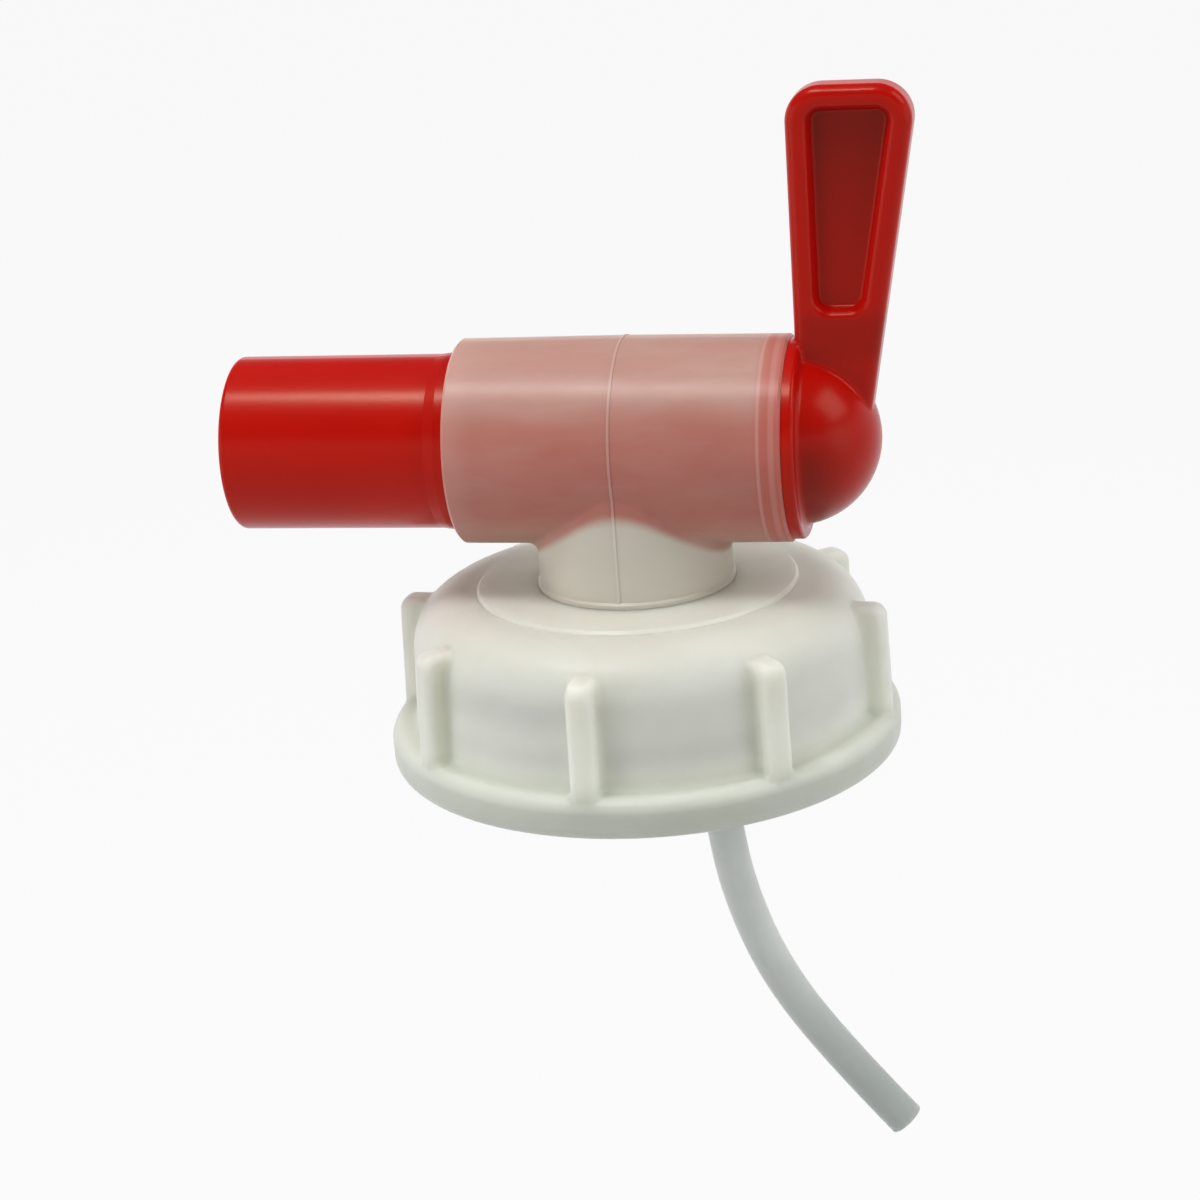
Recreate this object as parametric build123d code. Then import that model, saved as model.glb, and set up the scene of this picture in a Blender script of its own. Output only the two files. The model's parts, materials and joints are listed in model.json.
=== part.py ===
from build123d import *
import os
from math import radians, sqrt, tan

# Canister tap, in millimetres, +Z up. The origin is the centre of the cap's open mouth.
# The barrel lies along X: the spout points to -X and the lever stands at +X.
# Turns about the barrel are counted from +Z, by the right-hand rule about +X.

# Screw cap: flange, skirt, shoulder and boss
flange_radius = 30.0
flange_height = 4.8
flange_edge_radius = 1.5
flange_overhang = 3.0
skirt_draft = 0.6
skirt_wall = 1.3
skirt_root_radius = 1.0
cap_height = 20.1
shoulder_radius = 6.0
boss_set_in = 1.6
boss_height = 0.5
boss_edge_chamfer = 0.3

# Screw cap: inside
mouth_chamfer = 0.8
seat_thickness = 3.0
seat_corner_radius = 2.5
seat_set_in = 0.5
plate_thickness = 2.3

# Screw cap: grip wings
wing_count = 8
wing_turn = -3.3
wing_thickness = 3.0
wing_foot_set_in = 0.4
wing_draft = 0.5
wing_top_set_down = 2.2
wing_corner_radius = 1.6
wing_edge_radius = 0.9
wing_root_radius = 0.9

# Gasket under the cap's seat
gasket_thickness = 1.5
gasket_clearance = 0.2

# Key: plug, spout, snap bead, end flange and dome
plug_radius = 10.1
plug_wall = 2.1
key_clearance = 0.06
key_end_play = 0.15
seat_gap = 0.03
spout_length = 26.85
spout_edge_radius = 0.6
spout_mouth_chamfer = 0.4
bead_width = 2.4
bead_height = 0.15
end_flange_set_in = 0.45
end_flange_thickness = 1.4
end_flange_edge_radius = 0.5
dome_set_in = 0.15
dome_root_radius = 0.9
port_length = 12.0
port_width = 10.0
groove_width = 2.2
groove_depth = 1.0
quarter_turn = 90.0
stop_lug_turn = 24.0
stop_lug_centre = -45.0
stop_play_turn = 0.5

# Key: lever with a pocket on each face
lever_setback = 0.75
lever_length = 40.3
lever_root_width = 7.8
lever_tip_width = 14.8
lever_thickness = 5.0
lever_corner_radius = 4.0
lever_edge_radius = 1.3
lever_root_radius = 0.6
lever_rim = 2.3
pocket_start = 14.9
pocket_depth = 1.8
pocket_taper = 18.0
pocket_corner_radius = 2.0
pocket_edge_radius = 0.9
pocket_floor_radius = 0.5

# Tap body: barrel
barrel_length = 38.5
barrel_wall = 1.79
barrel_draft = 0.1
barrel_edge_chamfer = 0.3
parting_ridge_width = 0.3
parting_ridge_height = 0.08
stop_recess_depth = 1.9
stop_recess_width = 0.84
stop_block_turn = 16.0
air_notch_width = 2.4
air_notch_depth = 0.8

# Tap body: neck, snap spigot and liquid passage
neck_set_in = 0.65
neck_height = 16.7
neck_collar_width = 0.25
neck_collar_height = 0.7
saddle_radius = 1.2
spigot_step = 1.3
spigot_wall = 1.8
lip_height = 0.6
lip_land = 0.6
spigot_nose = 1.8
spigot_nose_inset = 0.5
swivel_clearance = 0.08
swivel_end_play = 0.1

# Vent: column in the neck, nipple and hose
vent_set_in = 0.6
vent_column_wall = 1.7
nipple_length = 5.0
nipple_wall = 0.4
nipple_clearance = 0.05
hose_radius = 2.2
hose_bore_radius = 1.35
hose_first_run = 12.0
hose_arc_share = 0.45

# How far a cutting shape runs past the wall that it opens
cut_margin = 1.0

# Worked-out radii, from the cap's flange and the key's plug
skirt_foot_radius = flange_radius - flange_overhang
skirt_top_radius = skirt_foot_radius - skirt_draft
thread_wall_radius = skirt_top_radius - skirt_wall
boss_radius = skirt_top_radius - shoulder_radius - boss_set_in
seat_inner_radius = boss_radius - seat_set_in
wing_foot_radius = flange_radius - wing_foot_set_in
wing_top_radius = wing_foot_radius - wing_draft
plug_bore_radius = plug_radius - plug_wall
barrel_bore_radius = plug_radius + key_clearance
barrel_radius = barrel_bore_radius + barrel_wall
stop_recess_radius = barrel_bore_radius + stop_recess_width
end_flange_radius = barrel_radius - end_flange_set_in
dome_radius = plug_radius - dome_set_in
neck_radius = barrel_radius - neck_set_in
spigot_radius = neck_radius - spigot_step
neck_bore_radius = spigot_radius - spigot_wall
lip_radius = spigot_radius + lip_height
nipple_radius = hose_bore_radius - nipple_clearance
vent_bore_radius = nipple_radius - nipple_wall
vent_column_radius = vent_bore_radius + vent_column_wall

# Worked-out levels and places
boss_top = cap_height + boss_height
plate_underside = boss_top - plate_thickness
seat_level = cap_height - seat_thickness
wing_height = cap_height - wing_top_set_down
neck_foot = boss_top + seat_gap
barrel_axis_height = neck_foot + neck_height
lip_top = plate_underside - swivel_end_play
spigot_end = lip_top - lip_land - spigot_nose
vent_offset = neck_bore_radius - vent_set_in
barrel_end = barrel_length / 2
recess_floor = barrel_end - stop_recess_depth
end_flange_back = barrel_end + seat_gap
end_flange_front = end_flange_back + end_flange_thickness
spout_end = -barrel_end - spout_length
port_centre = (vent_offset - vent_column_radius - neck_bore_radius) / 2
lever_inner = barrel_end + lever_setback

# The vent hose hangs from the nipple and curls away to +X. Points on its route, chosen by hand.
hose_route = [
    (vent_offset, 0, spigot_end),
    (vent_offset, 0, spigot_end - hose_first_run),
    (8.35, 0, -9.2),
    (10.05, 0, -19.7),
    (14.2, 0, -30.4),
    (21.5, 0, -40.7),
    (29.0, 0, -49.4),
]

# Where a shape's own origin lies on it
BOTTOM = (Align.CENTER, Align.CENTER, Align.MIN)
TOP = (Align.CENTER, Align.CENTER, Align.MAX)
START = (Align.MIN, Align.CENTER, Align.CENTER)
LEFT_FOOT = (Align.MIN, Align.MIN)


def outline(points, corners=()):
    """Closed face through the points, with the named corners rounded."""
    face = make_face(Polyline(*points, close=True))
    for corner, radius in corners:
        face = fillet(face.vertices().sort_by_distance(corner)[0], radius)
    return face


def turned(face, axis):
    """Solid made by turning an outline, drawn as (X, Z), about an axis."""
    return revolve(Plane.XZ * face, axis)


def ring_sector(inner, outer, start, end, centre_turn, width_turn):
    """Piece of a ring about the X axis, centred on a turn from +Z."""
    section = Plane.XZ * outline([(start, inner), (end, inner), (end, outer), (start, outer)])
    sector = revolve(section, Axis.X, revolution_arc=width_turn)
    return Rot(centre_turn - width_turn / 2, 0, 0) * sector


def grip_wing():
    """One radial wing, rooted inside the cap's blank."""
    foot = flange_height / 2
    outer_corner = (wing_top_radius, wing_height)
    face = outline(
        [(boss_radius, foot), (wing_foot_radius, foot), outer_corner, (boss_radius, wing_height)],
        [(outer_corner, wing_corner_radius)],
    )
    wing = extrude(Plane.XZ * face, wing_thickness / 2, both=True)
    rims = wing.faces().filter_by(Axis.Y).edges()
    free_rims = rims.filter_by(lambda edge: edge.center().X > boss_radius)
    free_rims = free_rims.filter_by(lambda edge: edge.center().Z > foot)
    return fillet(free_rims, wing_edge_radius)


def make_screw_cap():
    """Winged cap: turned blank and wings, hollowed from the mouth, with a hole for the spigot."""
    skirt_foot = (skirt_foot_radius, flange_height)
    shoulder = (skirt_top_radius, cap_height)
    blank = turned(
        outline(
            [
                (0, 0),
                (flange_radius, 0),
                (flange_radius, flange_height),
                skirt_foot,
                shoulder,
                (0, cap_height),
            ],
            [
                ((flange_radius, 0), flange_edge_radius),
                ((flange_radius, flange_height), flange_edge_radius),
                (skirt_foot, skirt_root_radius),
                (shoulder, shoulder_radius),
            ],
        ),
        Axis.Z,
    )
    wings = [Rot(0, 0, wing_turn + step * 360 / wing_count) * grip_wing() for step in range(wing_count)]
    cap = blank + wings
    cap = fillet(new_edges(blank, *wings, combined=cap), wing_root_radius)
    boss = Pos(0, 0, cap_height) * Cylinder(boss_radius, boss_height, align=BOTTOM)
    cap += chamfer(boss.edges().group_by(Axis.Z)[-1], boss_edge_chamfer)

    hollow = turned(
        outline(
            [
                (0, 0),
                (thread_wall_radius + mouth_chamfer, 0),
                (thread_wall_radius, mouth_chamfer),
                (thread_wall_radius, seat_level),
                (seat_inner_radius, seat_level),
                (seat_inner_radius, plate_underside),
                (0, plate_underside),
            ],
            [((thread_wall_radius, seat_level), seat_corner_radius)],
        ),
        Axis.Z,
    )
    hole_radius = spigot_radius + swivel_clearance
    hole = Pos(0, 0, plate_underside) * Cylinder(hole_radius, plate_thickness, align=BOTTOM)
    return cap - hollow - hole


def make_gasket():
    """Flat sealing ring on the cap's seat."""
    outer = thread_wall_radius - seat_corner_radius - gasket_clearance
    inner = seat_inner_radius + gasket_clearance
    ring = Circle(outer) - Circle(inner)
    return Pos(0, 0, seat_level) * extrude(ring, -gasket_thickness)


def stop_blocks():
    """Two stops in the barrel's end recess, one at each end of the key's quarter turn."""
    reach = stop_lug_turn / 2 + stop_play_turn + stop_block_turn / 2
    closed_turn = stop_lug_centre + reach
    open_turn = stop_lug_centre - quarter_turn - reach
    return [
        ring_sector(barrel_bore_radius, stop_recess_radius, recess_floor, barrel_end, turn, stop_block_turn)
        for turn in (closed_turn, open_turn)
    ]


def make_barrel(growth=0.0):
    """Outside of the barrel about the X axis, drafted from the middle of its length."""
    end_radius = barrel_radius - barrel_draft + growth
    face_radius = end_radius - barrel_edge_chamfer
    rim = barrel_end - barrel_edge_chamfer
    return turned(
        outline(
            [
                (-barrel_end, 0),
                (-barrel_end, face_radius),
                (-rim, end_radius),
                (0, barrel_radius + growth),
                (rim, end_radius),
                (barrel_end, face_radius),
                (barrel_end, 0),
            ]
        ),
        Axis.X,
    )


def make_neck(growth=0.0):
    """Outside of the neck, from its foot to the barrel's axis."""
    return Pos(0, 0, neck_foot) * Cylinder(neck_radius + growth, neck_height, align=BOTTOM)


def make_spigot():
    """Snap spigot under the neck and the collar at the neck's foot."""
    collar_radius = neck_radius + neck_collar_width
    collar_top = neck_foot + neck_collar_height
    return turned(
        outline(
            [
                (0, spigot_end),
                (spigot_radius - spigot_nose_inset, spigot_end),
                (lip_radius, lip_top - lip_land),
                (lip_radius, lip_top),
                (spigot_radius, lip_top),
                (spigot_radius, neck_foot),
                (collar_radius, neck_foot),
                (collar_radius, collar_top - neck_collar_width),
                (neck_radius, collar_top),
                (0, collar_top),
            ]
        ),
        Axis.Z,
    )


def make_tap_body():
    """Barrel on a round neck, with a snap spigot, the liquid passage and the vent nipple."""
    to_barrel = Pos(0, 0, barrel_axis_height)
    neck = make_neck()
    barrel = to_barrel * make_barrel()
    body = neck + barrel
    body = fillet(new_edges(neck, barrel, combined=body), saddle_radius)
    grown = make_neck(parting_ridge_height) + to_barrel * make_barrel(parting_ridge_height)
    slab_height = neck_height + 2 * barrel_radius
    slab = Pos(0, 0, neck_foot) * Box(parting_ridge_width, slab_height, slab_height, align=BOTTOM)
    body = body + (grown & slab) + make_spigot()

    vent_place = Pos(vent_offset, 0, spigot_end)
    passage_height = barrel_axis_height - spigot_end
    passage = Circle(neck_bore_radius) - Pos(vent_offset, 0) * Circle(vent_column_radius)
    body -= Pos(0, 0, spigot_end) * extrude(passage, passage_height)
    body -= to_barrel * Rot(0, 90, 0) * Cylinder(barrel_bore_radius, barrel_length)

    recess = ring_sector(barrel_bore_radius, stop_recess_radius, recess_floor, barrel_end, 0, 360)
    body -= to_barrel * (recess - stop_blocks())
    notch = Box(2 * air_notch_depth, air_notch_width, barrel_wall + 2 * cut_margin, align=TOP)
    body -= to_barrel * Pos(barrel_end, 0, cut_margin - barrel_bore_radius) * notch

    body += vent_place * Cylinder(nipple_radius, nipple_length, align=TOP)
    vent_bore = Cylinder(vent_bore_radius, nipple_length + passage_height, align=BOTTOM)
    return body - vent_place * Pos(0, 0, -nipple_length) * vent_bore


def make_lever():
    """Flat lever that widens to its tip, with rounded rims and a drafted pocket on each face."""
    tip_edge = lever_inner + lever_tip_width
    root_edge = lever_inner + lever_root_width
    tip_corners = [(lever_inner, lever_length), (tip_edge, lever_length)]
    face = outline(
        [(lever_inner, 0), *tip_corners, (root_edge, 0)],
        [(corner, lever_corner_radius) for corner in tip_corners],
    )
    lever = extrude(Plane.XZ * face, lever_thickness / 2, both=True)
    rims = lever.faces().filter_by(Axis.Y).edges()
    lever = fillet(rims.filter_by(lambda edge: edge.center().Z > 0), lever_edge_radius)

    inner_face = offset(face, -lever_rim)
    window = Pos(lever_inner, pocket_start) * Rectangle(lever_length, lever_length, align=LEFT_FOOT)
    pocket_face = inner_face & window
    foot_corners = pocket_face.vertices().sort_by(Axis.Y)[:2]
    pocket_face = fillet(foot_corners, pocket_corner_radius)
    front = Plane(origin=(0, -lever_thickness / 2, 0), x_dir=(1, 0, 0), z_dir=(0, -1, 0))
    pocket = extrude(front * pocket_face, -pocket_depth, taper=pocket_taper)
    pocket = fillet(pocket.faces().sort_by(Axis.Y)[-1].edges(), pocket_floor_radius)
    lever = lever - pocket - mirror(pocket, Plane.XZ)
    pocket_rims = [face.inner_wires().edges() for face in lever.faces().filter_by(Axis.Y)]
    return fillet([edge for rim in pocket_rims for edge in rim], pocket_edge_radius)


def make_shaft():
    """Spout, snap bead, plug, end flange and dome, turned about the X axis and still solid."""
    bead_start = -barrel_end - key_end_play
    bead_radius = plug_radius + bead_height
    dome_tip = barrel_end + dome_radius
    dome_foot = (end_flange_front, sqrt(dome_radius**2 - (end_flange_front - barrel_end) ** 2))
    dome_middle = dome_radius / sqrt(2)
    profile = Polyline(
        (dome_tip, 0),
        (spout_end, 0),
        (spout_end, plug_radius),
        (bead_start - bead_width, plug_radius),
        (bead_start - bead_width / 2, bead_radius),
        (bead_start, bead_radius),
        (bead_start, plug_radius),
        (end_flange_back, plug_radius),
        (end_flange_back, end_flange_radius),
        (end_flange_front, end_flange_radius),
        dome_foot,
    )
    dome = ThreePointArc(dome_foot, (barrel_end + dome_middle, dome_middle), (dome_tip, 0))
    section = make_face([profile, dome])
    for corner, radius in [
        ((spout_end, plug_radius), spout_edge_radius),
        ((end_flange_front, end_flange_radius), end_flange_edge_radius),
        (dome_foot, dome_root_radius),
    ]:
        section = fillet(section.vertices().sort_by_distance(corner)[0], radius)
    return turned(section, Axis.X)


def make_key():
    """Spout, plug, end flange, dome and lever in one piece, about the X axis."""
    shaft = make_shaft()
    lever = make_lever()
    key = shaft + lever
    key = fillet(new_edges(shaft, lever, combined=key), lever_root_radius)

    lug_outer = stop_recess_radius - key_end_play
    lug_start = recess_floor + key_end_play
    key += ring_sector(
        plug_bore_radius, lug_outer, lug_start, end_flange_back, stop_lug_centre, stop_lug_turn
    )

    mouth = Pos(spout_end, 0, 0) * Rot(0, 90, 0)
    mouth_radius = plug_bore_radius + spout_mouth_chamfer
    key -= mouth * Cylinder(plug_bore_radius, barrel_end - spout_end, align=BOTTOM)
    key -= mouth * Cone(mouth_radius, plug_bore_radius, spout_mouth_chamfer, align=BOTTOM)
    key -= Pos(barrel_end, 0, 0) * Sphere(plug_bore_radius)

    port_side = Plane(origin=(0, 0, 0), x_dir=(1, 0, 0), z_dir=(0, 1, 0))
    port = Pos(port_centre, 0) * SlotOverall(port_length, port_width)
    key -= extrude(port_side * port, plug_radius + cut_margin)
    groove_start = vent_offset - vent_bore_radius - nipple_clearance
    groove_length = barrel_end - stop_recess_depth / 2 - groove_start
    groove = Box(groove_length, 2 * groove_depth, groove_width, align=START)
    return key - Pos(groove_start, plug_radius, 0) * groove


def make_hose():
    """Hollow vent hose along straight runs joined by the largest arcs that fit."""
    points = [Vector(*point) for point in hose_route]
    runs = [end - start for start, end in zip(points, points[1:])]
    radii = []
    for before, after in zip(runs, runs[1:]):
        half_turn = radians(before.get_angle(after)) / 2
        radii.append(hose_arc_share * min(before.length, after.length) / tan(half_turn))
    path = FilletPolyline(*points, radius=radii)
    start = Plane(origin=points[0], z_dir=runs[0])
    section = Circle(hose_radius) - Circle(hose_bore_radius)
    hose = sweep(start * section, path=path)
    print("hose radii", [round(radius, 1) for radius in radii], "length", round(path.length, 2))
    print("hose volume", round(hose.volume, 2), "expected", round(section.area * path.length, 2))
    return hose


pieces = {
    "screw_cap": make_screw_cap(),
    "gasket": make_gasket(),
    "tap_body": make_tap_body(),
    "key": Pos(0, 0, barrel_axis_height) * make_key(),
    "vent_hose": make_hose(),
}

os.makedirs("parts", exist_ok=True)
for name, piece in pieces.items():
    export_step(piece, f"parts/{name}.step")
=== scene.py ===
import json
from math import cos, pi, radians, sin

import bmesh
import bpy
from mathutils import Matrix, Quaternion, Vector


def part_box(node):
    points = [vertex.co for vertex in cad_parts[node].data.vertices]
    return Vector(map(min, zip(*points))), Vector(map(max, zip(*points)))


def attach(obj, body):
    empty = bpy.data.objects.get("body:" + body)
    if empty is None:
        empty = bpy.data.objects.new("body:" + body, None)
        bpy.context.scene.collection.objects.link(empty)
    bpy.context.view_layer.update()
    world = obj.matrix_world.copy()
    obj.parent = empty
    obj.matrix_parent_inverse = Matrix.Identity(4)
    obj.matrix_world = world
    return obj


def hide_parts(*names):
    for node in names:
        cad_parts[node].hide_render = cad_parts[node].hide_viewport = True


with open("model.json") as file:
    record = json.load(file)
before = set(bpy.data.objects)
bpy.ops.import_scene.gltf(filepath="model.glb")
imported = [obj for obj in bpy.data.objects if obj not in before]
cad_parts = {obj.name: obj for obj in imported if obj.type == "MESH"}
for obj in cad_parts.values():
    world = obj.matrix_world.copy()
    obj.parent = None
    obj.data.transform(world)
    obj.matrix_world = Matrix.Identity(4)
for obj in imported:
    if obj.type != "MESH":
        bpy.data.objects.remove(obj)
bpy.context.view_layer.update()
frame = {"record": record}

# Units are metres, in the part's own frame: the cap's mouth is at z = 0, the spout points to -X.
MM = 0.001

# Places and sizes read from the frame
joints = {joint["name"]: joint for joint in frame["record"]["behaviour"]["joints"]}
mounts = {mount["name"]: mount for mount in frame["record"]["mounts"]}
barrel_axis_z = joints["key_turn"]["pos_m"][2]
barrel_end_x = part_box("tap_body")[1][0]
cap_top_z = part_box("screw_cap")[1][2]
spout_radius = mounts["spout"]["dims"]["r_mm"] * MM
thread_wall_radius = mounts["neck_thread"]["dims"]["r_mm"] * MM

# Camera, fitted to the photograph
view_target = Vector((-4.64 * MM, 0, barrel_axis_z - 19.6 * MM))
view_distance = 366.7 * MM
view_azimuth = radians(12.43)
view_elevation = radians(19.12)
view_roll = radians(-4.05)
view_lens = 93.9
view_sensor = 36.0
view_near = 10 * MM

# Studio: lamps as place, size and power, a pale world with a dim ceiling, and a pale floor
lamp_aim = (0, 0, barrel_axis_z)
lamps = {
    "top_light": ((-0.14, -0.02, 0.75), (0.6, 0.3), 1.35),
    "strip_light": ((-0.155, -0.195, 0.72), (0.3, 0.08), 1.85),
    "right_light": ((0.63, -0.08, 0.59), (0.45, 0.45), 1.75),
    "right_low_light": ((0.69, -0.22, 0.08), (0.4, 0.4), 1.35),
    "left_light": ((-0.25, -0.15, 0.28), (0.2, 0.2), 0.1),
    "left_low_light": ((-0.26, -0.18, 0.04), (0.2, 0.2), 0.37),
    "back_right_light": ((0.4, 0.5, 0.5), (0.45, 0.45), 0.7),
    "back_left_light": ((-0.4, 0.5, 0.5), (0.45, 0.45), 0.9),
}
mirrored_lamps = {"strip_light", "right_light"}
world_level = 0.26
ceiling_level = 0.08
ceiling_rise = (0.2, 0.42)
floor_level = -0.2
floor_half_width = 6.0
floor_tone = 0.55
floor_glow_share = 0.93

# Vent hose: the points of its route in millimetres, its section, its length and its end darkened by
# painted shade
hose_route = [
    (7.6, 0, 15.8),
    (7.6, 0, 3.8),
    (8.35, 0, -9.2),
    (10.05, 0, -19.7),
    (14.2, 0, -30.4),
    (21.5, 0, -40.7),
    (29.0, 0, -49.4),
]
hose_diameter = 4.4 * MM
hose_wall = 0.85 * MM
hose_sides = 40
hose_samples_per_run = 14
hose_shade_rise = (-48 * MM, -18 * MM)

# Thread ridge inside the cap
thread_pitch = 5.0 * MM
thread_depth = 1.3 * MM
thread_foot = 2.6 * MM
thread_crest = 1.0 * MM
thread_sink = 0.2 * MM
thread_start = 3.0 * MM
thread_turns = 1.75
thread_steps_per_turn = 96

# Cap: the heights over which its flange, skirt and top change tone, with painted shade on the flange
# and top and painted light on the skirt
skirt_light_rise = (3 * MM, 7 * MM)
top_shade_rise = (8 * MM, cap_top_z)

# Lever: its outline, rim and pockets, as they are on the key
lever_inner_x = barrel_end_x + 0.75 * MM
lever_root_width = 7.8 * MM
lever_tip_width = 14.8 * MM
lever_length = 40.3 * MM
lever_spread = (lever_tip_width - lever_root_width) / lever_length
lever_rim = 2.3 * MM
pocket_foot = 14.9 * MM
pocket_edge = 1 * MM
pocket_web = (1 * MM, 2.2 * MM)

# Key: where painted shade and light change its red, past the barrel's end and above the barrel's axis
dome_shade_reach = (0.0, 3 * MM)
dome_foot_shade_reach = (3 * MM, 8 * MM)
dome_foot_shade_rise = (-1 * MM, 5 * MM)
lever_foot_shade_height = 12.5 * MM
lever_foot_shade_half = 1.5 * MM
lever_foot_shade_soft = 2.5 * MM
lever_foot_shade_share = 0.8
lever_light_rise = (13 * MM, 17 * MM)
pocket_shade_rise = (18 * MM, 34 * MM)

# Barrel: the distance from the plug over which its thin wall becomes the neck
neck_wall = (2.3 * MM, 3.3 * MM)

# Barrel: where its pink changes along and across it, and how much; the paler top is painted sheen, and
# the paler underside is painted bounce light together with the neck's milky tone
painted_sheen_above = (3 * MM, 9 * MM)
neck_tone_and_bounce_below = (5 * MM, 11 * MM)
sheen_and_bounce_share = 0.6
streak_share = 0.24
spout_end_reach = (0.5 * MM - barrel_end_x, 4 * MM - barrel_end_x)
spout_end_share = 0.3
lever_end_reach = (barrel_end_x - 3.4 * MM, barrel_end_x - 1.5 * MM)
lever_end_share = 0.8

# Barrel: lighter lines round it, as half width and fade, and how light they are; the lighter colour on
# the parting line is a painted highlight
ring_x = barrel_end_x - 2.5 * MM
ring_line = (0.08 * MM, 0.2 * MM)
ring_share = 0.28
rim_x = barrel_end_x - 1.0 * MM
rim_line = (0.15 * MM, 0.35 * MM)
rim_share = 0.18
parting_x = 0.0
parting_highlight_line = (0.1 * MM, 0.12 * MM)
parting_highlight_share = 0.17

# Gasket foam
pore_size = 0.5 * MM

# Meshes: the distance at which doubles merge and the angle from which an edge stays sharp
weld_distance = 0.0001 * MM
sharp_angle = radians(35)


class Shade:
    """A shader socket that takes part in Python expressions."""

    def __init__(self, nodes, socket):
        self.nodes = nodes
        self.socket = socket

    def math(self, operation, *values):
        return self.nodes.node("ShaderNodeMath", {"operation": operation}, list(values))

    def __add__(self, other):
        return self.math("ADD", self, other)

    def __sub__(self, other):
        return self.math("SUBTRACT", self, other)

    def __mul__(self, other):
        return self.math("MULTIPLY", self, other)

    def __radd__(self, other):
        return self.math("ADD", other, self)

    def __rsub__(self, other):
        return self.math("SUBTRACT", other, self)

    def __rmul__(self, other):
        return self.math("MULTIPLY", other, self)

    def __abs__(self):
        return self.math("ABSOLUTE", self)

    def root(self):
        return self.math("SQRT", self)

    def higher(self, other):
        return self.math("MAXIMUM", self, other)

    def ramp(self, low, high):
        """0 below low, 1 above high, smooth between."""
        return self.nodes.node(
            "ShaderNodeMapRange",
            {"interpolation_type": "SMOOTHSTEP", "clamp": True},
            {"Value": self, "From Min": low, "From Max": high},
        )

    def band(self, centre, half_width, soft):
        """1 within half_width of centre, fading to 0 over soft."""
        return 1 - abs(self - centre).ramp(half_width, half_width + soft)

    def parts(self):
        """The X, Y and Z of a vector."""
        split = self.nodes.node("ShaderNodeSeparateXYZ", inputs=[self]).socket.node
        return [Shade(self.nodes, socket) for socket in split.outputs]


class Nodes:
    """A shader's node tree, filled node by node."""

    def __init__(self, tree):
        self.tree = tree

    def node(self, kind, settings=None, inputs=None, out=0):
        """Adds a node, with its settings first and then its values and links."""
        node = self.tree.nodes.new(kind)
        for name, value in (settings or {}).items():
            setattr(node, name, value)
        pairs = inputs.items() if isinstance(inputs, dict) else enumerate(inputs or [])
        for name, value in pairs:
            self.feed(node.inputs[name], value)
        return Shade(self, node.outputs[out])

    def feed(self, socket, value):
        """Links a shade to a socket, or sets the socket's own value."""
        if isinstance(value, Shade):
            self.tree.links.new(value.socket, socket)
        elif socket.type == "RGBA":
            socket.default_value = (*value, 1)
        else:
            socket.default_value = value

    def camera_ray(self):
        """1 for rays from the camera, else 0."""
        return self.node("ShaderNodeLightPath", out="Is Camera Ray")

    def mirrored_ray(self):
        """1 for rays from a reflection or a see-through surface, else 0."""
        glossy_ray = self.node("ShaderNodeLightPath", out="Is Glossy Ray")
        return glossy_ray.higher(self.node("ShaderNodeLightPath", out="Is Transmission Ray"))


class Finish(Nodes):
    """One procedural material on Object coordinates."""

    def __init__(self, name, **surface):
        self.material = bpy.data.materials.new(name)
        self.material.use_nodes = True
        super().__init__(self.material.node_tree)
        self.shader = self.tree.nodes["Principled BSDF"]
        for socket, value in surface.items():
            self.feed(self.shader.inputs[socket.replace("_", " ")], value)
        self.place = self.node("ShaderNodeTexCoord", out="Object")
        self.x, self.y, self.z = self.place.parts()

    def noise(self, size, detail=2.0, roughness=0.5, stretch=(1, 1, 1)):
        """Soft noise from 0 to 1 with features of about the given size in metres."""
        place = self.node("ShaderNodeMapping", {}, {"Vector": self.place, "Scale": stretch})
        settings = {"noise_dimensions": "3D"}
        values = {"Vector": place, "Scale": 1 / size, "Detail": detail, "Roughness": roughness}
        return self.node("ShaderNodeTexNoise", settings, values)

    def blend(self, amount, first, second):
        """Colour between first and second."""
        settings = {"data_type": "RGBA", "clamp_factor": True}
        return self.node("ShaderNodeMix", settings, {0: amount, 6: first, 7: second}, out=2)

    def dress(self, colour, roughness, height=None, depth=0.0):
        """Feeds the shader's colour, roughness and bump."""
        self.feed(self.shader.inputs["Base Color"], colour)
        self.feed(self.shader.inputs["Roughness"], roughness)
        if height is not None:
            bump = self.node("ShaderNodeBump", {}, {"Height": height, "Distance": depth})
            self.feed(self.shader.inputs["Normal"], bump)
        return self.material


def srgb(red, green, blue):
    """Linear colour of an 8-bit screen colour."""
    steps = [value / 255 for value in (red, green, blue)]
    return tuple(s / 12.92 if s <= 0.04045 else ((s + 0.055) / 1.055) ** 2.4 for s in steps)


def translucent(share, depth):
    """Shader values of a milky plastic that lets light in to about the given depth."""
    return {
        "Subsurface_Weight": share,
        "Subsurface_Scale": depth,
        "Subsurface_Radius": (1.0, 0.97, 0.9),
    }


def lever_pocket(finish, height):
    """1 on the floor of the lever's pockets, else 0."""
    outer_x = lever_inner_x + lever_root_width + height * lever_spread
    from_edges = [finish.x - lever_inner_x, outer_x - finish.x, lever_length - height]
    pocket = 1 - abs(finish.y).ramp(*pocket_web)
    pocket = pocket * height.ramp(pocket_foot, pocket_foot + pocket_edge)
    for distance in from_edges:
        pocket = pocket * distance.ramp(lever_rim, lever_rim + pocket_edge)
    return pocket


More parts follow.
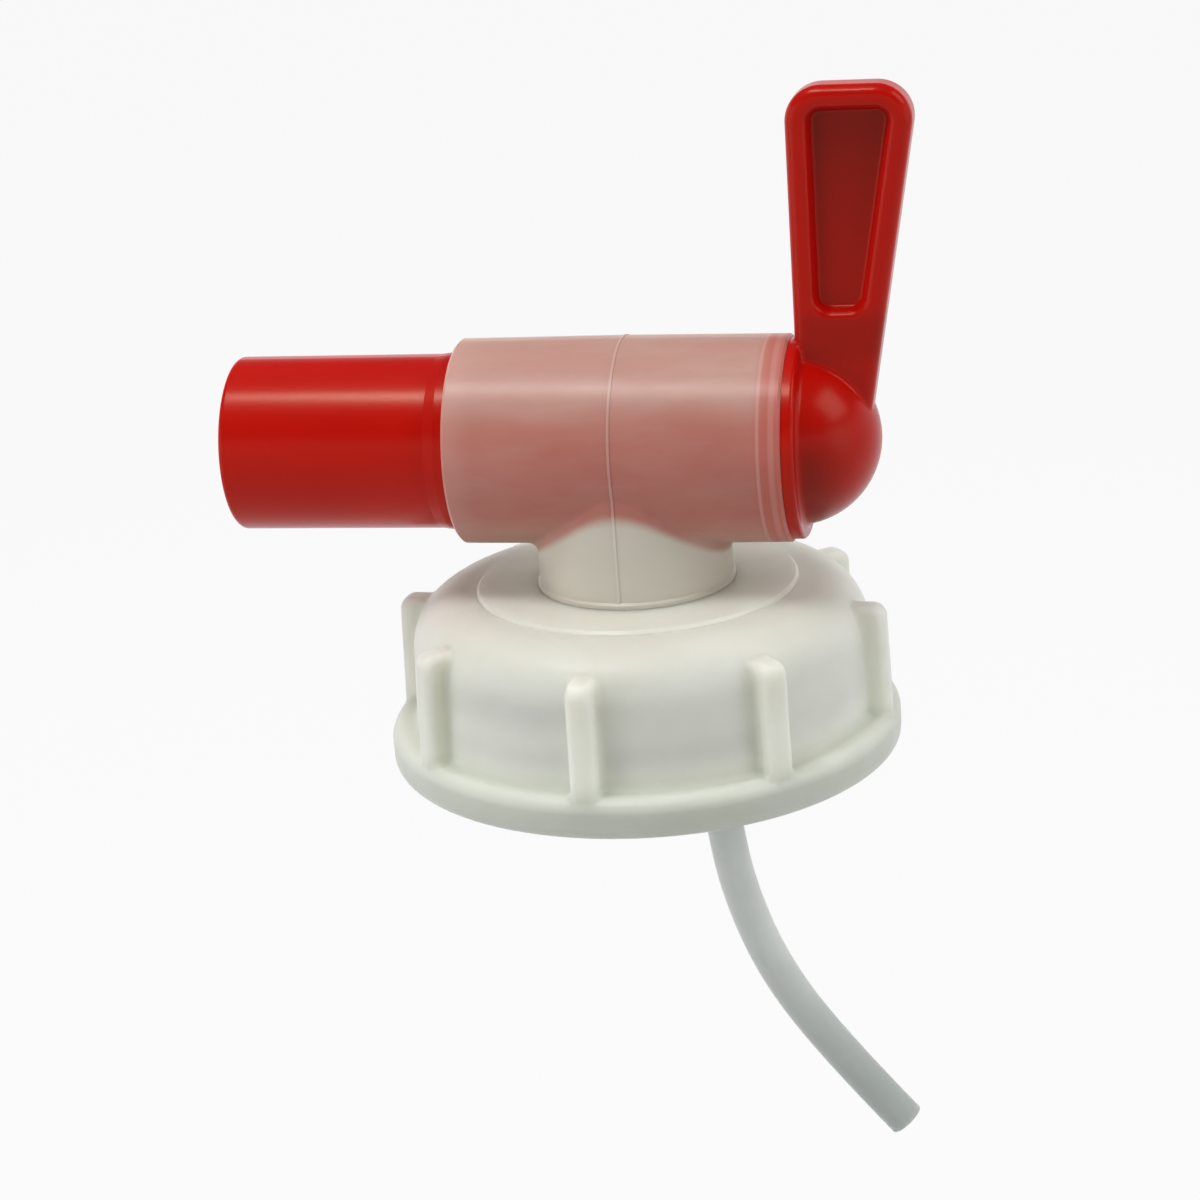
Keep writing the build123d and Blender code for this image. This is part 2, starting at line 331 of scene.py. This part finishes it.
def red_plastic():
    """Dyed polyethylene: red, satin, with faint flow clouds and a fine mould grain. Past the barrel's
    end it is painted darker as shade, most at the dome's foot, the lever's foot and the pocket floors,
    and the lever is painted lighter for the light on its rim.
    """
    sheen = {"Specular_IOR_Level": 0.23, "Specular_Tint": (1.0, 0.9, 0.65)}
    finish = Finish("red_plastic", IOR=1.5, **sheen)
    clouds = finish.noise(14 * MM, detail=3, roughness=0.55, stretch=(0.6, 1, 1))
    grain = finish.noise(0.35 * MM)
    height = finish.z - barrel_axis_z
    past_barrel = finish.x - barrel_end_x
    colour = finish.blend(clouds.ramp(0.35, 0.7), srgb(188, 14, 4), srgb(180, 10, 3))
    # Painted shade: past the barrel's end the red is darker, and darkest low on the dome beside the
    # flange.
    dome_foot_shade = (1 - past_barrel.ramp(*dome_foot_shade_reach)) * (1 - height.ramp(*dome_foot_shade_rise))
    dome = finish.blend(dome_foot_shade, srgb(174, 11, 4), srgb(141, 8, 4))
    colour = finish.blend(past_barrel.ramp(*dome_shade_reach), colour, dome)
    # Painted shade: a darker band across the lever's foot.
    lever_foot_shade = height.band(lever_foot_shade_height, lever_foot_shade_half, lever_foot_shade_soft)
    lever_foot_shade = past_barrel.ramp(*dome_shade_reach) * lever_foot_shade
    colour = finish.blend(lever_foot_shade_share * lever_foot_shade, colour, srgb(154, 9, 4))
    # Painted light: the lever above its foot is a lighter red, for the light on its rim.
    colour = finish.blend(height.ramp(*lever_light_rise), colour, srgb(181, 11, 4))
    # Painted shade: the pocket floors are darker, and darker still higher up the lever.
    floor = finish.blend(height.ramp(*pocket_shade_rise), srgb(167, 10, 4), srgb(143, 8, 4))
    colour = finish.blend(lever_pocket(finish, height), colour, floor)
    roughness = 0.21 + 0.05 * clouds + 0.03 * grain
    return finish.dress(colour, roughness, height=grain, depth=0.004 * MM)


def milky_barrel():
    """Natural polyethylene over the red plug: pink where the wall is thin, milky on the neck; paler on
    top with painted sheen, paler underneath with painted bounce light and the neck's milky tone, and
    with a painted highlight on the mould's dividing line.
    """
    finish = Finish("milky_barrel", Specular_IOR_Level=0.25, **translucent(0.25, 1.2 * MM))
    clouds = finish.noise(9 * MM, detail=3, roughness=0.6, stretch=(0.5, 1, 1))
    streaks = finish.noise(4 * MM, detail=3, roughness=0.6, stretch=(0.3, 1, 1))
    height = finish.z - barrel_axis_z
    wall = (finish.y * finish.y + height * height).root() - spout_radius
    pink = finish.blend(clouds.ramp(0.3, 0.75), srgb(185, 119, 107), srgb(178, 105, 94))
    # Paler on top as painted sheen, and underneath partly as painted bounce light and partly the milky
    # neck's tone, with paler streaks at random.
    pale = sheen_and_bounce_share * height.ramp(*painted_sheen_above) + sheen_and_bounce_share * (0 - height).ramp(*neck_tone_and_bounce_below)
    pale = pale + streak_share * streaks.ramp(0.35, 0.8)
    pink = finish.blend(pale, pink, srgb(191, 158, 145))
    spout_end = 1 - finish.x.ramp(*spout_end_reach)
    pink = finish.blend(spout_end * spout_end_share, pink, srgb(206, 158, 148))
    lever_end = finish.x.ramp(*lever_end_reach)
    pink = finish.blend(lever_end * lever_end_share, pink, srgb(186, 98, 86))
    lines = ring_share * finish.x.band(ring_x, *ring_line) + rim_share * finish.x.band(rim_x, *rim_line)
    pink = finish.blend(lines, pink, srgb(222, 184, 175))
    white = finish.blend(clouds, srgb(209, 205, 191), srgb(202, 196, 183))
    colour = finish.blend(wall.ramp(*neck_wall), pink, white)
    # Painted highlight: a lighter line on the parting ridge, where it catches the light.
    parting = finish.x.band(parting_x, *parting_highlight_line)
    colour = finish.blend(parting_highlight_share * parting, colour, srgb(232, 214, 206))
    roughness = 0.26 + 0.1 * clouds
    return finish.dress(colour, roughness)


def milky_cap():
    """Natural polyethylene, milky white; painted shade makes the flange greyer and the top a little
    darker, and painted light makes the skirt lighter.
    """
    finish = Finish("milky_cap", Specular_IOR_Level=0.35, **translucent(1.0, 5.5 * MM))
    clouds = finish.noise(12 * MM, detail=3, roughness=0.6).ramp(0.3, 0.75)
    grain = finish.noise(0.4 * MM)
    # Painted shade and light: the top is darker and the flange darker still than the skirt, which is
    # painted lighter.
    top = finish.blend(clouds, srgb(220, 221, 210), srgb(214, 214, 202))
    skirt = finish.blend(clouds, srgb(232, 234, 222), srgb(226, 228, 215))
    flange = finish.blend(clouds, srgb(200, 204, 195), srgb(195, 199, 189))
    colour = finish.blend(finish.z.ramp(*skirt_light_rise), flange, skirt)
    colour = finish.blend(finish.z.ramp(*top_shade_rise), colour, top)
    roughness = 0.3 + 0.1 * clouds + 0.04 * grain
    return finish.dress(colour, roughness, height=grain, depth=0.01 * MM)


def milky_hose():
    """Extruded natural tube: cloudy grey-white, darker towards its cut end with painted shade."""
    finish = Finish("milky_hose", Specular_IOR_Level=0.4, **translucent(0.6, 2 * MM))
    clouds = finish.noise(6 * MM, detail=3, roughness=0.6).ramp(0.3, 0.7)
    colour = finish.blend(clouds, srgb(224, 229, 224), srgb(217, 223, 218))
    # Painted shade: the hose darkens towards its cut end.
    shaded = 1 - finish.z.ramp(*hose_shade_rise)
    colour = finish.blend(shaded, colour, srgb(187, 194, 190))
    roughness = 0.34 + 0.1 * clouds
    return finish.dress(colour, roughness)


def gasket_foam():
    """Closed-cell foam of the gasket, with small pores."""
    finish = Finish("gasket_foam", Specular_IOR_Level=0.2)
    cells = {"Vector": finish.place, "Scale": 1 / pore_size}
    pores = finish.node("ShaderNodeTexVoronoi", {}, cells)
    colour = finish.blend(pores.ramp(0.1, 0.6), srgb(214, 213, 206), srgb(232, 231, 226))
    roughness = 0.75 + 0.1 * pores
    return finish.dress(colour, roughness, height=pores, depth=0.08 * MM)


def dress_nodes(finishes):
    """Gives every carried-over node its finish."""
    for node, material in finishes.items():
        mesh = bpy.data.objects[node].data
        mesh.materials.clear()
        mesh.materials.append(material)


def finished(name, shape, body, material):
    """Turns a bmesh into a piece that rides on a body."""
    bmesh.ops.remove_doubles(shape, verts=shape.verts, dist=weld_distance)
    bmesh.ops.recalc_face_normals(shape, faces=shape.faces)
    mesh = bpy.data.meshes.new(name)
    shape.to_mesh(mesh)
    shape.free()
    mesh.materials.append(material)
    mesh.polygons.foreach_set("use_smooth", [True] * len(mesh.polygons))
    mesh.set_sharp_from_angle(angle=sharp_angle)
    piece = bpy.data.objects.new(name, mesh)
    bpy.context.scene.collection.objects.link(piece)
    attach(piece, body)
    return piece


def hose_line():
    """Points along the hose's NURBS line."""
    curve = bpy.data.curves.new("hose_line", "CURVE")
    curve.dimensions = "3D"
    spline = curve.splines.new("NURBS")
    spline.points.add(len(hose_route) - 1)
    for point, place in zip(spline.points, hose_route):
        point.co = (*(Vector(place) * MM), 1)
    spline.order_u = 3
    spline.use_endpoint_u = True
    spline.resolution_u = hose_samples_per_run
    holder = bpy.data.objects.new("hose_line", curve)
    bpy.context.scene.collection.objects.link(holder)
    evaluated = holder.evaluated_get(bpy.context.evaluated_depsgraph_get())
    line = bpy.data.meshes.new_from_object(evaluated)
    points = [vertex.co.copy() for vertex in line.vertices]
    bpy.data.objects.remove(holder)
    bpy.data.meshes.remove(line)
    return points


def hose(material):
    """Hollow hose along its line, cut square at the free end."""
    points = hose_line()
    runs = [(after - before).normalized() for before, after in zip(points, points[1:])]
    headings = [runs[0], *[(a + b).normalized() for a, b in zip(runs, runs[1:])], runs[-1]]
    turn = Vector((0, 0, 1)).rotation_difference(headings[0])
    places = []
    for point, before, heading in zip(points, headings[:1] + headings, headings):
        turn = before.rotation_difference(heading) @ turn
        places.append(Matrix.Translation(point) @ turn.to_matrix().to_4x4())
    shape = bmesh.new()
    bmesh.ops.create_circle(shape, segments=hose_sides, radius=hose_diameter / 2, matrix=places[0])
    rim = list(shape.edges)
    for before, after in zip(places, places[1:]):
        grown = bmesh.ops.extrude_edge_only(shape, edges=rim)["geom"]
        verts = [item for item in grown if isinstance(item, bmesh.types.BMVert)]
        edges = [item for item in grown if isinstance(item, bmesh.types.BMEdge)]
        rim = [edge for edge in edges if all(vert in verts for vert in edge.verts)]
        bmesh.ops.transform(shape, matrix=after @ before.inverted(), verts=verts)
    bmesh.ops.recalc_face_normals(shape, faces=shape.faces)
    bmesh.ops.solidify(shape, geom=shape.faces[:], thickness=hose_wall)
    piece = finished("hose", shape, "tap", material)
    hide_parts("vent_hose")


def cap_thread(material):
    """Ridge of the cap's inner thread, turned up the wall as a helix."""
    wall = thread_wall_radius + thread_sink
    crest = thread_wall_radius - thread_depth
    flank = (thread_foot - thread_crest) / 2
    section = [(wall, 0), (crest, flank), (crest, thread_foot - flank), (wall, thread_foot)]
    shape = bmesh.new()
    verts = [shape.verts.new((radius, 0, thread_start + rise)) for radius, rise in section]
    face = shape.faces.new(verts)
    bmesh.ops.spin(
        shape,
        geom=[face, *face.edges, *verts],
        axis=(0, 0, 1),
        dvec=(0, 0, thread_pitch / thread_steps_per_turn),
        angle=2 * pi * thread_turns,
        steps=int(thread_turns * thread_steps_per_turn),
    )
    finished("cap_thread", shape, "cap", material)


def camera():
    """Camera at the photograph's place."""
    level = cos(view_elevation)
    back = Vector((sin(view_azimuth) * level, -cos(view_azimuth) * level, sin(view_elevation)))
    data = bpy.data.cameras.new("photo_camera")
    data.sensor_width = view_sensor
    data.sensor_fit = "HORIZONTAL"
    data.lens = view_lens
    data.clip_start = view_near
    holder = bpy.data.objects.new("photo_camera", data)
    turn = back.to_track_quat("Z", "Y") @ Quaternion((0, 0, 1), view_roll)
    place = Matrix.Translation(view_target + back * view_distance)
    holder.matrix_world = place @ turn.to_matrix().to_4x4()
    bpy.context.scene.collection.objects.link(holder)
    bpy.context.scene.camera = holder


def softbox(name, place, size, power):
    """Area lamp that faces the barrel."""
    data = bpy.data.lights.new(name, "AREA")
    data.shape = "RECTANGLE"
    data.size, data.size_y = size
    data.energy = power
    lamp = bpy.data.objects.new(name, data)
    lamp.visible_glossy = name in mirrored_lamps
    turn = (Vector(place) - Vector(lamp_aim)).to_track_quat("Z", "Y")
    lamp.matrix_world = Matrix.Translation(place) @ turn.to_matrix().to_4x4()
    bpy.context.scene.collection.objects.link(lamp)


def studio_world():
    """Soft even light. The camera sees white, and reflections a white backdrop under a dim ceiling."""
    world = bpy.data.worlds.new("studio")
    world.use_nodes = True
    bpy.context.scene.world = world
    nodes = Nodes(world.node_tree)
    height = nodes.node("ShaderNodeTexCoord", out="Generated").parts()[2]
    backdrop = 1 - height.ramp(*ceiling_rise) * (1 - ceiling_level)
    mirrored = nodes.mirrored_ray() * (backdrop - world_level)
    strength = world_level + nodes.camera_ray() * (1 - world_level) + mirrored
    background = world.node_tree.nodes["Background"]
    nodes.feed(background.inputs["Color"], (1, 1, 1))
    nodes.feed(background.inputs["Strength"], strength)


def studio_floor():
    """Pale matt floor that looks white to the camera and keeps the object's shadow."""
    finish = Finish("floor", Base_Color=(floor_tone,) * 3, Roughness=0.9)
    glow = finish.node("ShaderNodeEmission")
    matt = Shade(finish, finish.shader.outputs[0])
    seen = finish.camera_ray().higher(finish.mirrored_ray())
    mix = finish.node("ShaderNodeMixShader", {}, [seen * floor_glow_share, matt, glow])
    finish.feed(finish.tree.nodes["Material Output"].inputs["Surface"], mix)
    shape = bmesh.new()
    bmesh.ops.create_grid(shape, x_segments=2, y_segments=2, size=floor_half_width)
    bmesh.ops.translate(shape, vec=(0, 0, floor_level), verts=shape.verts)
    mesh = bpy.data.meshes.new("floor")
    shape.to_mesh(mesh)
    shape.free()
    mesh.materials.append(finish.material)
    floor = bpy.data.objects.new("floor", mesh)
    bpy.context.scene.collection.objects.link(floor)


bpy.context.scene.view_settings.view_transform = "Standard"
camera()
cap_finish = milky_cap()
hose_finish = milky_hose()
hose(hose_finish)
cap_thread(cap_finish)
dress_nodes(
    {
        "screw_cap": cap_finish,
        "gasket": gasket_foam(),
        "tap_body": milky_barrel(),
        "key": red_plastic(),
        "vent_hose": hose_finish,
    }
)
studio_world()
studio_floor()
for name, (place, size, power) in lamps.items():
    softbox(name, place, size, power)
